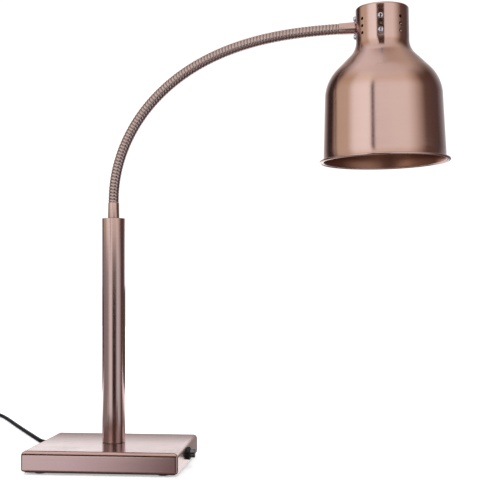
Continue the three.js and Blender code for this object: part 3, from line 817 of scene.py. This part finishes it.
def bell_line(outset, fine):
    """The bell's outline from the top's rounded edge to the flange, `outset` outside its outer face."""
    shoulder_centre = SHADE_BODY_RADIUS - SHADE_SHOULDER
    fillet_centre = SHADE_NECK_RADIUS + SHADE_FILLET
    half = math.sqrt(0.5)
    cone_drop = shoulder_centre + SHADE_SHOULDER * half - (fillet_centre - SHADE_FILLET * half)
    shoulder_drop = SHADE_FILLET_DROP + SHADE_FILLET * half + cone_drop + SHADE_SHOULDER * half
    neck_radius = SHADE_NECK_RADIUS + outset
    cone_start = (fillet_centre + (outset - SHADE_FILLET) * half,
                  -SHADE_FILLET_DROP + (outset - SHADE_FILLET) * half)
    shoulder = arc(shoulder_centre, -shoulder_drop, SHADE_SHOULDER + outset, 45, 0, 5 * fine)
    cone = [tuple(Vector(cone_start).lerp(Vector(shoulder[0]), t / 5)) for t in range(1, 5)]
    flange = (SHADE_RIM_RADIUS + outset, -FLANGE_DROP + 2.4)
    body = [tuple(Vector(shoulder[-1]).lerp(Vector(flange), t / 8)) for t in range(1, 8)]
    top_centre = SHADE_NECK_RADIUS - SHADE_TOP_ROUND
    return [
        *arc(top_centre, -SHADE_TOP_ROUND, SHADE_TOP_ROUND + outset, 90, 0, 2 * fine),
        *[(neck_radius, -z) for z in (5, 12, 20, 28, 36, 41)],
        *arc(fillet_centre, -SHADE_FILLET_DROP, SHADE_FILLET - outset, 180, 225, 4 * fine),
        *cone, *shoulder, *body, flange,
    ]


def drill(radius, drop, bearing):
    """A rod through the neck's wall, `drop` below the shade's top, to be cut away from it."""
    mesh = lathe_mesh("drill", [(0, 28), (radius, 28), (radius, 42), (0, 42)], 24)
    mesh.transform(turn(bearing, "Z") @ turn(90, "Y"))
    mesh.transform(Matrix.Translation((0, 0, -drop * MM)))
    return mesh


def neck_normals(mesh):
    """True cylinder normals round the neck, so that the drilled holes leave no shading marks on it."""
    normals = []
    for polygon in mesh.polygons:
        middle = polygon.center
        out = Vector((middle.x, middle.y, 0)).normalized()
        facing = polygon.normal.dot(out)
        on_neck = -SHADE_FILLET_DROP * MM < middle.z < -3.2 * MM and abs(facing) > 0.9
        for index in polygon.loop_indices:
            co = mesh.vertices[mesh.loops[index].vertex_index].co
            if on_neck:
                way = Vector((co.x, co.y, 0)).normalized()
                normals.append(way if facing > 0 else -way)
            else:
                normals.append(Vector((0, 0, 0)))
    mesh.normals_split_custom_set(normals)


def make_shade():
    low, half = -FLANGE_DROP, SHADE_WALL / 2
    bead = arc(BEAD_CENTRE, low, BEAD_RADIUS, 158, -158, 18)
    outer, inner = bell_line(0, 4), bell_line(-SHADE_WALL, 3)
    flat_out = [(r, 0) for r in (0, 10, 20, 28)]
    flat_in = [(r, -SHADE_WALL) for r in (27, 20, 10, 0)]
    flange_top = rounded([outer[-1], (SHADE_RIM_RADIUS + 0.9, low + half), bead[0]], 0.8, 3)[1:-1]
    flange_low = rounded([bead[-1], (SHADE_RIM_RADIUS + 0.2, low - half), inner[-1]], 0.8, 3)[1:-1]
    profile = [*flat_out, *outer, *flange_top, *bead, *flange_low, *inner[::-1], *flat_in]
    rows = [HOLE_MIDDLE + row * HOLE_PITCH for row in (-1, 0, 1)]
    tools = [drill(VENT_RADIUS, drop, bearing) for bearing in (-135, -45, 0) for drop in rows]
    tools += [drill(VENT_RADIUS, drop - REAR_VENTS_RISE, bearing) for bearing in (45, 135) for drop in rows]
    strap_holes = list(zip((SCREW_HOLE_RADIUS, VENT_RADIUS, SCREW_HOLE_RADIUS), rows))
    for bearing in (90, -90):
        tools += [drill(radius, drop, bearing) for radius, drop in strap_holes]
    tools += [drill(SCREW_HOLE_RADIUS, ARM_DROP - ARM_SCREW_SPACING, 180),
              drill(STUB_HOLE_RADIUS, ARM_DROP, 180),
              drill(SCREW_HOLE_RADIUS, ARM_DROP + ARM_SCREW_SPACING, 180)]
    solid = lathe_mesh("bell", profile, 144, sharp=40)
    mesh = cut_away(solid, [join_meshes("drills", tools)])
    mesh.set_sharp_from_angle(angle=math.radians(40))
    neck_normals(mesh)
    bell = piece("bell", mesh, copper_spun, "head", head_place, ["shade"])
    # painted shade: faces inside the bell, and under its top, take the darker copper
    mesh.materials.append(copper_inside_painted_shade)
    for polygon in mesh.polygons:
        middle = polygon.center
        inward = polygon.normal.dot(Vector((middle.x, middle.y, 0)).normalized()) < -0.05
        under_top = polygon.normal.z < -0.5 and middle.z > -0.1
        if (inward or under_top) and middle.z > (-FLANGE_DROP + 1.2) * MM:
            polygon.material_index = 1


def make_head_details():
    seat = SHADE_NECK_RADIUS + GAP
    piece("sleeve_upper", ferrule_mesh("sleeve_upper", 12), copper_tube, "head",
          head_place @ at(-seat, 0, -ARM_DROP) @ turn(-90, "Y"), ["upper_ferrule"])
    screw = finish_mesh(pan_screw_mesh(), 30)
    spots = [
        ("arm_screw_upper", at(-seat, 0, -ARM_DROP + ARM_SCREW_SPACING) @ turn(-90, "Y")),
        ("arm_screw_lower", at(-seat, 0, -ARM_DROP - ARM_SCREW_SPACING) @ turn(-90, "Y")),
    ]
    for end, side in (("front", -1), ("rear", 1)):
        for level, drop in (("upper", HOLE_MIDDLE - HOLE_PITCH), ("lower", HOLE_MIDDLE + HOLE_PITCH)):
            spots.append((f"bracket_screw_{end}_{level}", at(0, side * seat, -drop) @ turn(side * -90, "X")))
    for i, (node, spot) in enumerate(spots):
        place = head_place @ spot @ turn(37 * i, "Z")
        piece(f"pan_{node}", screw.copy(), bright_steel, "head", place, [node])
    holder = [(3.4, -13.3), (17, -13.3), (19.5, -16.3), (19.5, -58), (18.5, -60), (14.6, -60), (14.6, -30),
              (3.4, -30)]
    piece("holder_ceramic", lathe_mesh("holder_ceramic", rounded(holder, 0.6, 3), 64, True), ceramic, "head",
          head_place, ["lamp_holder"])


def make_lamp():
    """A pressed-glass reflector lamp: silvered flare above, stippled lens below."""
    flare = [(13.4, -57.8), (16, -64), (30, -80), (45, -101), (55.5, -125), (60.5, -144), (60.5, -150.5)]
    line = [Vector(p) for p in rounded(flare, 7, 5)]
    inside = [(p.x - 1.2, p.y) for p in line][::-1]
    flared = lathe_mesh("lamp_reflector", [tuple(p) for p in line] + inside, 96, True)
    piece("lamp_reflector", flared, silvered_glass, "head", head_place)
    lens = [(0, -167.4), (10, -166.9), (20, -165.6), (32, -163.2), (44, -160), (54, -156.7), (59.6, -154.2),
            (60.5, -152.6), (60.5, -150.9), (58, -150.9), (0, -158)]
    shape = lathe_mesh("lamp_lens", lens, 96)
    piece("lamp_lens", shape, lens_glass, "head", head_place, ["bulb_glass"])


make_shade()
make_head_details()
make_lamp()

# ---------------------------------------------------------------- materials of the CAD nodes that stay
KEPT = {
    "base_bottom_plate": black_paint,
    "ballast_plate": cast_steel,
    "lamp_lead": silicone,
    "mains_inner_lead": cord_rubber,
    "holder_shell": brass,
    "bulb_cap": brass,
    "terminal_block": black_plastic,
    "switch_body": black_plastic,
    "gland_nut": black_plastic,
}
for node_name, node in nodes.items():
    if not node.hide_render:
        node.data.materials.clear()
        node.data.materials.append(KEPT.get(node_name, plain_steel))


# ---------------------------------------------------------------- studio
def stage_mesh(name, vertices, faces, skin, only_reflected=True):
    mesh = bpy.data.meshes.new(name)
    mesh.from_pydata(vertices, [], faces)
    for polygon in mesh.polygons:
        polygon.use_smooth = True
    made = piece(name, mesh, skin, None)
    if only_reflected:
        made.visible_camera = made.visible_diffuse = made.visible_shadow = False
        made.visible_transmission = made.visible_volume_scatter = False
    return made


def glow(name, build, fade_from=None, fade_to=0.0):
    """A surface that only gives off light and may fade away upwards; `build` returns its colour."""
    made = bpy.data.materials.new(name)
    made.use_nodes = True
    graph = Nodes(made.node_tree)
    shader = graph.add("ShaderNodeEmission", Color=build(graph), Strength=1.0)
    if fade_from is not None:
        height = graph.split(graph.coordinates())[2]
        clear = graph.tree.nodes.new("ShaderNodeMixShader")
        graph.feed(clear.inputs[0], graph.span(height, fade_from, fade_to, 0, 1))
        graph.feed(clear.inputs[1], shader.outputs[0])
        graph.feed(clear.inputs[2], graph.add("ShaderNodeBsdfTransparent").outputs[0])
        shader = clear
    out = graph.add("ShaderNodeOutputMaterial")
    graph.feed(out.inputs["Surface"], shader.outputs[0])
    return made


def bearing_and_height(graph, direction):
    """Degrees round the upright, 0 to the front and positive to the right, and the direction's height."""
    x, y, z = graph.split(direction)
    round_angle = graph.math("ARCTAN2", x, graph.math("MULTIPLY", y, -1))
    return graph.math("MULTIPLY", round_angle, 180 / math.pi), z


def bearing_ramp(graph, degrees, stops):
    places = [((angle + 180) / 360, color) for angle, color in stops]
    return graph.ramp(graph.span(degrees, -180, 180, 0, 1), places)


# places in the studio, in metres
FLOOR_FRONT, FLOOR_REACH = -0.26, 5
SURROUND_RADIUS, SURROUND_BOTTOM, SURROUND_FADE, SURROUND_TOP = 0.72, -0.4, 0.37, 0.49
SURROUND_SIDES = 96
CARD_BEHIND_Y = BASE_DEPTH / 2 * MM + 0.012
CARD_LOW, CARD_HIGH = 0.030, 0.102  # the heights between which the card's colours change
EDGE_STRIP_Y = -BASE_DEPTH / 2 * MM - 0.008
TABLE_EDGE_Y = -0.2
NECK_STRIP_Y = -0.105
FRONT_GAP_BEARING = 23.5  # degrees to the left of the front


def make_floor():
    def build(graph, shader):
        place = graph.coordinates()
        clouds = graph.noise(place, scale=3, detail=2)
        tint = graph.tint(clouds, (0.95, 0.95, 0.95, 1), (0.965, 0.965, 0.965, 1))
        graph.feed(shader.inputs["Base Color"], tint)
        graph.feed(shader.inputs["Emission Color"], tint)
        shader.inputs["Emission Strength"].default_value = 0.4
        shader.inputs["Roughness"].default_value = 0.9
        shader.inputs["Specular IOR Level"].default_value = 0.1

    front, reach = FLOOR_FRONT, FLOOR_REACH
    corners = [(-reach, front, 0), (reach, front, 0), (reach, reach, 0), (-reach, reach, 0)]
    table = stage_mesh("floor", corners, [(0, 1, 2, 3)], material("floor", build), False)
    table.visible_glossy = False


def make_reflected_room():
    """What only reflections see close by: a surround that fades away upwards, a card behind the base, the
    table's edge in front, a dark strip along the base's front fold and one before the shade's neck."""

    def surround(graph):
        degrees, _ = bearing_and_height(graph, graph.coordinates())
        return bearing_ramp(graph, degrees, [
            (-180, (1.5, 1.5, 1.5)), (-158, (1.1, 1.1, 1.1)), (-138, (0.16, 0.13, 0.14)),
            (-122, (0.16, 0.13, 0.14)), (-112, (0.36, 0.36, 0.40)), (-64, (0.42, 0.41, 0.42)),
            (-46, (0.46, 0.45, 0.45)), (-31, (1.0, 1.05, 1.05)), (-25, (1.15, 1.25, 1.3)),
            (-10, (1.15, 1.25, 1.3)), (-4, (0.8, 0.85, 0.85)), (2, (0.14, 0.11, 0.11)),
            (9, (0.05, 0.04, 0.04)), (25, (0.05, 0.04, 0.04)), (35, (0.2, 0.2, 0.2)),
            (44, (0.85, 0.98, 1.05)), (62, (0.9, 1.0, 1.05)), (80, (0.55, 0.55, 0.57)),
            (90, (0.14, 0.11, 0.11)), (132, (0.14, 0.12, 0.14)), (150, (1.2, 1.2, 1.2)),
            (160, (1.5, 1.5, 1.5)), (180, (1.5, 1.5, 1.5)),
        ])

    count = SURROUND_SIDES
    angles = [2 * math.pi * i / count for i in range(count)]
    ring = [(SURROUND_RADIUS * math.sin(angle), SURROUND_RADIUS * math.cos(angle)) for angle in angles]
    vertices = [(x, y, SURROUND_BOTTOM) for x, y in ring] + [(x, y, SURROUND_TOP) for x, y in ring]
    faces = [(i, (i + 1) % count, count + (i + 1) % count, count + i) for i in range(count)]
    stage_mesh("surround", vertices, faces, glow("surround", surround, SURROUND_FADE, SURROUND_TOP))

    def card(graph):
        height = graph.split(graph.coordinates())[2]
        return graph.ramp(graph.span(height, CARD_LOW, CARD_HIGH, 0, 1), [
            (0, (0.38, 0.33, 0.32)), (0.16, (0.55, 0.52, 0.51)), (0.36, (1.5, 1.55, 1.6)),
            (0.75, (1.7, 1.75, 1.8)), (0.85, (0.2, 0.15, 0.14)), (1, (0.16, 0.11, 0.1)),
        ])

    def table_edge(graph):
        across = graph.split(graph.coordinates())[0]
        return graph.ramp(graph.span(across, -0.15, 0.11, 0, 1), [
            (0, (1.05, 1.1, 1.2)), (0.3, (0.98, 1.0, 1.1)), (0.55, (0.74, 0.72, 0.78)),
            (0.75, (0.46, 0.42, 0.46)), (1, (0.16, 0.11, 0.11)),
        ])

    def shadow(graph):
        clouds = graph.noise(graph.coordinates(), scale=3)
        return graph.tint(clouds, (0.075, 0.032, 0.016, 1), (0.09, 0.04, 0.02, 1))

    dark = glow("dark card", shadow)
    # each card's name, y, left, right, bottom, top and material
    cards = (
        ("card", CARD_BEHIND_Y, -0.5, 0.5, 0, 0.25, glow("card", card)),
        ("table_edge", TABLE_EDGE_Y, -0.3, 0.3, -0.08, 0.013, glow("table edge", table_edge)),
        ("edge_strip", EDGE_STRIP_Y, -0.125, 0.125, 0.0280, 0.0395, dark),
        ("neck_strip", NECK_STRIP_Y, 0.349, 0.375, 0.5815, 0.632, dark),
    )
    for name, y, left, right, bottom, top, skin in cards:
        corners = [(left, y, bottom), (right, y, bottom), (right, y, top), (left, y, top)]
        stage_mesh(name, corners, [(0, 1, 2, 3)], skin)


def make_world():
    """A white studio, which in reflections has soft light and dark areas all round."""
    world = bpy.data.worlds.new("studio")
    bpy.context.scene.world = world
    world.use_nodes = True
    world.cycles.sampling_method = "NONE"
    graph = Nodes(world.node_tree)
    degrees, z = bearing_and_height(graph, graph.coordinates("Generated"))
    elevation = graph.math("MULTIPLY", graph.math("ARCSINE", z), 180 / math.pi)
    sides = bearing_ramp(graph, degrees, [
        (-180, (0.95, 0.92, 0.90)), (-152, (0.45, 0.38, 0.36)), (-136, (0.05, 0.04, 0.045)),
        (-120, (0.06, 0.035, 0.03)), (-108, (0.72, 0.60, 0.48)), (-100, (0.90, 0.80, 0.62)),
        (-76, (0.94, 0.82, 0.63)), (-62, (1.45, 1.50, 1.46)), (-33, (1.58, 1.68, 1.62)),
        (-20, (1.30, 1.32, 1.28)), (44, (1.30, 1.30, 1.22)), (56, (1.05, 1.0, 0.9)), (70, (0.66, 0.55, 0.46)),
        (84, (0.20, 0.13, 0.10)), (122, (0.13, 0.09, 0.085)), (146, (0.4, 0.4, 0.42)),
        (180, (0.95, 0.92, 0.90)),
    ])
    # the narrow gap between the two front lights
    from_gap = graph.math("ABSOLUTE", graph.math("ADD", degrees, FRONT_GAP_BEARING))
    inside = graph.math("SUBTRACT", 1, graph.span(from_gap, 1.2, 5, 0, 1))
    gap = graph.math("MULTIPLY", inside, graph.span(elevation, 22, 34, 1, 0))
    fronts = graph.tint(gap, sides, (0.10, 0.055, 0.045, 1))

    def level(angle):
        """The place on a ramp of an elevation in degrees."""
        return 0.5 + angle / 180

    lift = graph.span(elevation, -90, 90, 0, 1)
    veil = graph.ramp(lift, [
        (level(-40), (0.25, 0.17, 0.14)), (level(-20), (1, 1, 1)), (level(22), (1, 1, 1)),
        (level(34), (0.86, 0.76, 0.66)), (level(44), (0.86, 0.78, 0.70)), (level(60), (1, 1, 1)),
    ])
    overhead = graph.ramp(lift, [(level(38), (0, 0, 0)), (level(60), (1, 1, 1))])
    shaded = graph.tree.nodes.new("ShaderNodeMix")
    shaded.data_type = "RGBA"
    shaded.blend_type = "MULTIPLY"
    graph.feed(shaded.inputs[0], 1.0)
    graph.feed(shaded.inputs[6], fronts)
    graph.feed(shaded.inputs[7], veil)
    above = bearing_ramp(graph, degrees, [
        (-180, (0.9, 0.85, 0.8)), (-166, (1.12, 1.08, 1.04)), (-100, (1.2, 1.16, 1.12)),
        (-50, (1.1, 1.06, 1.0)), (60, (1.0, 0.94, 0.86)), (110, (0.85, 0.74, 0.62)),
        (150, (0.78, 0.64, 0.50)), (180, (0.9, 0.85, 0.8)),
    ])
    studio = graph.tint(overhead, shaded.outputs[2], above)
    ray = graph.add("ShaderNodeLightPath")
    color = graph.tint(ray.outputs["Is Glossy Ray"], (1.08, 1.08, 1.08, 1), studio)
    shader = graph.add("ShaderNodeBackground", Color=color, Strength=1.0)
    out = graph.add("ShaderNodeOutputWorld")
    graph.feed(out.inputs["Surface"], shader.outputs[0])


make_floor()
make_reflected_room()
make_world()
bpy.context.scene.view_settings.view_transform = "Standard"
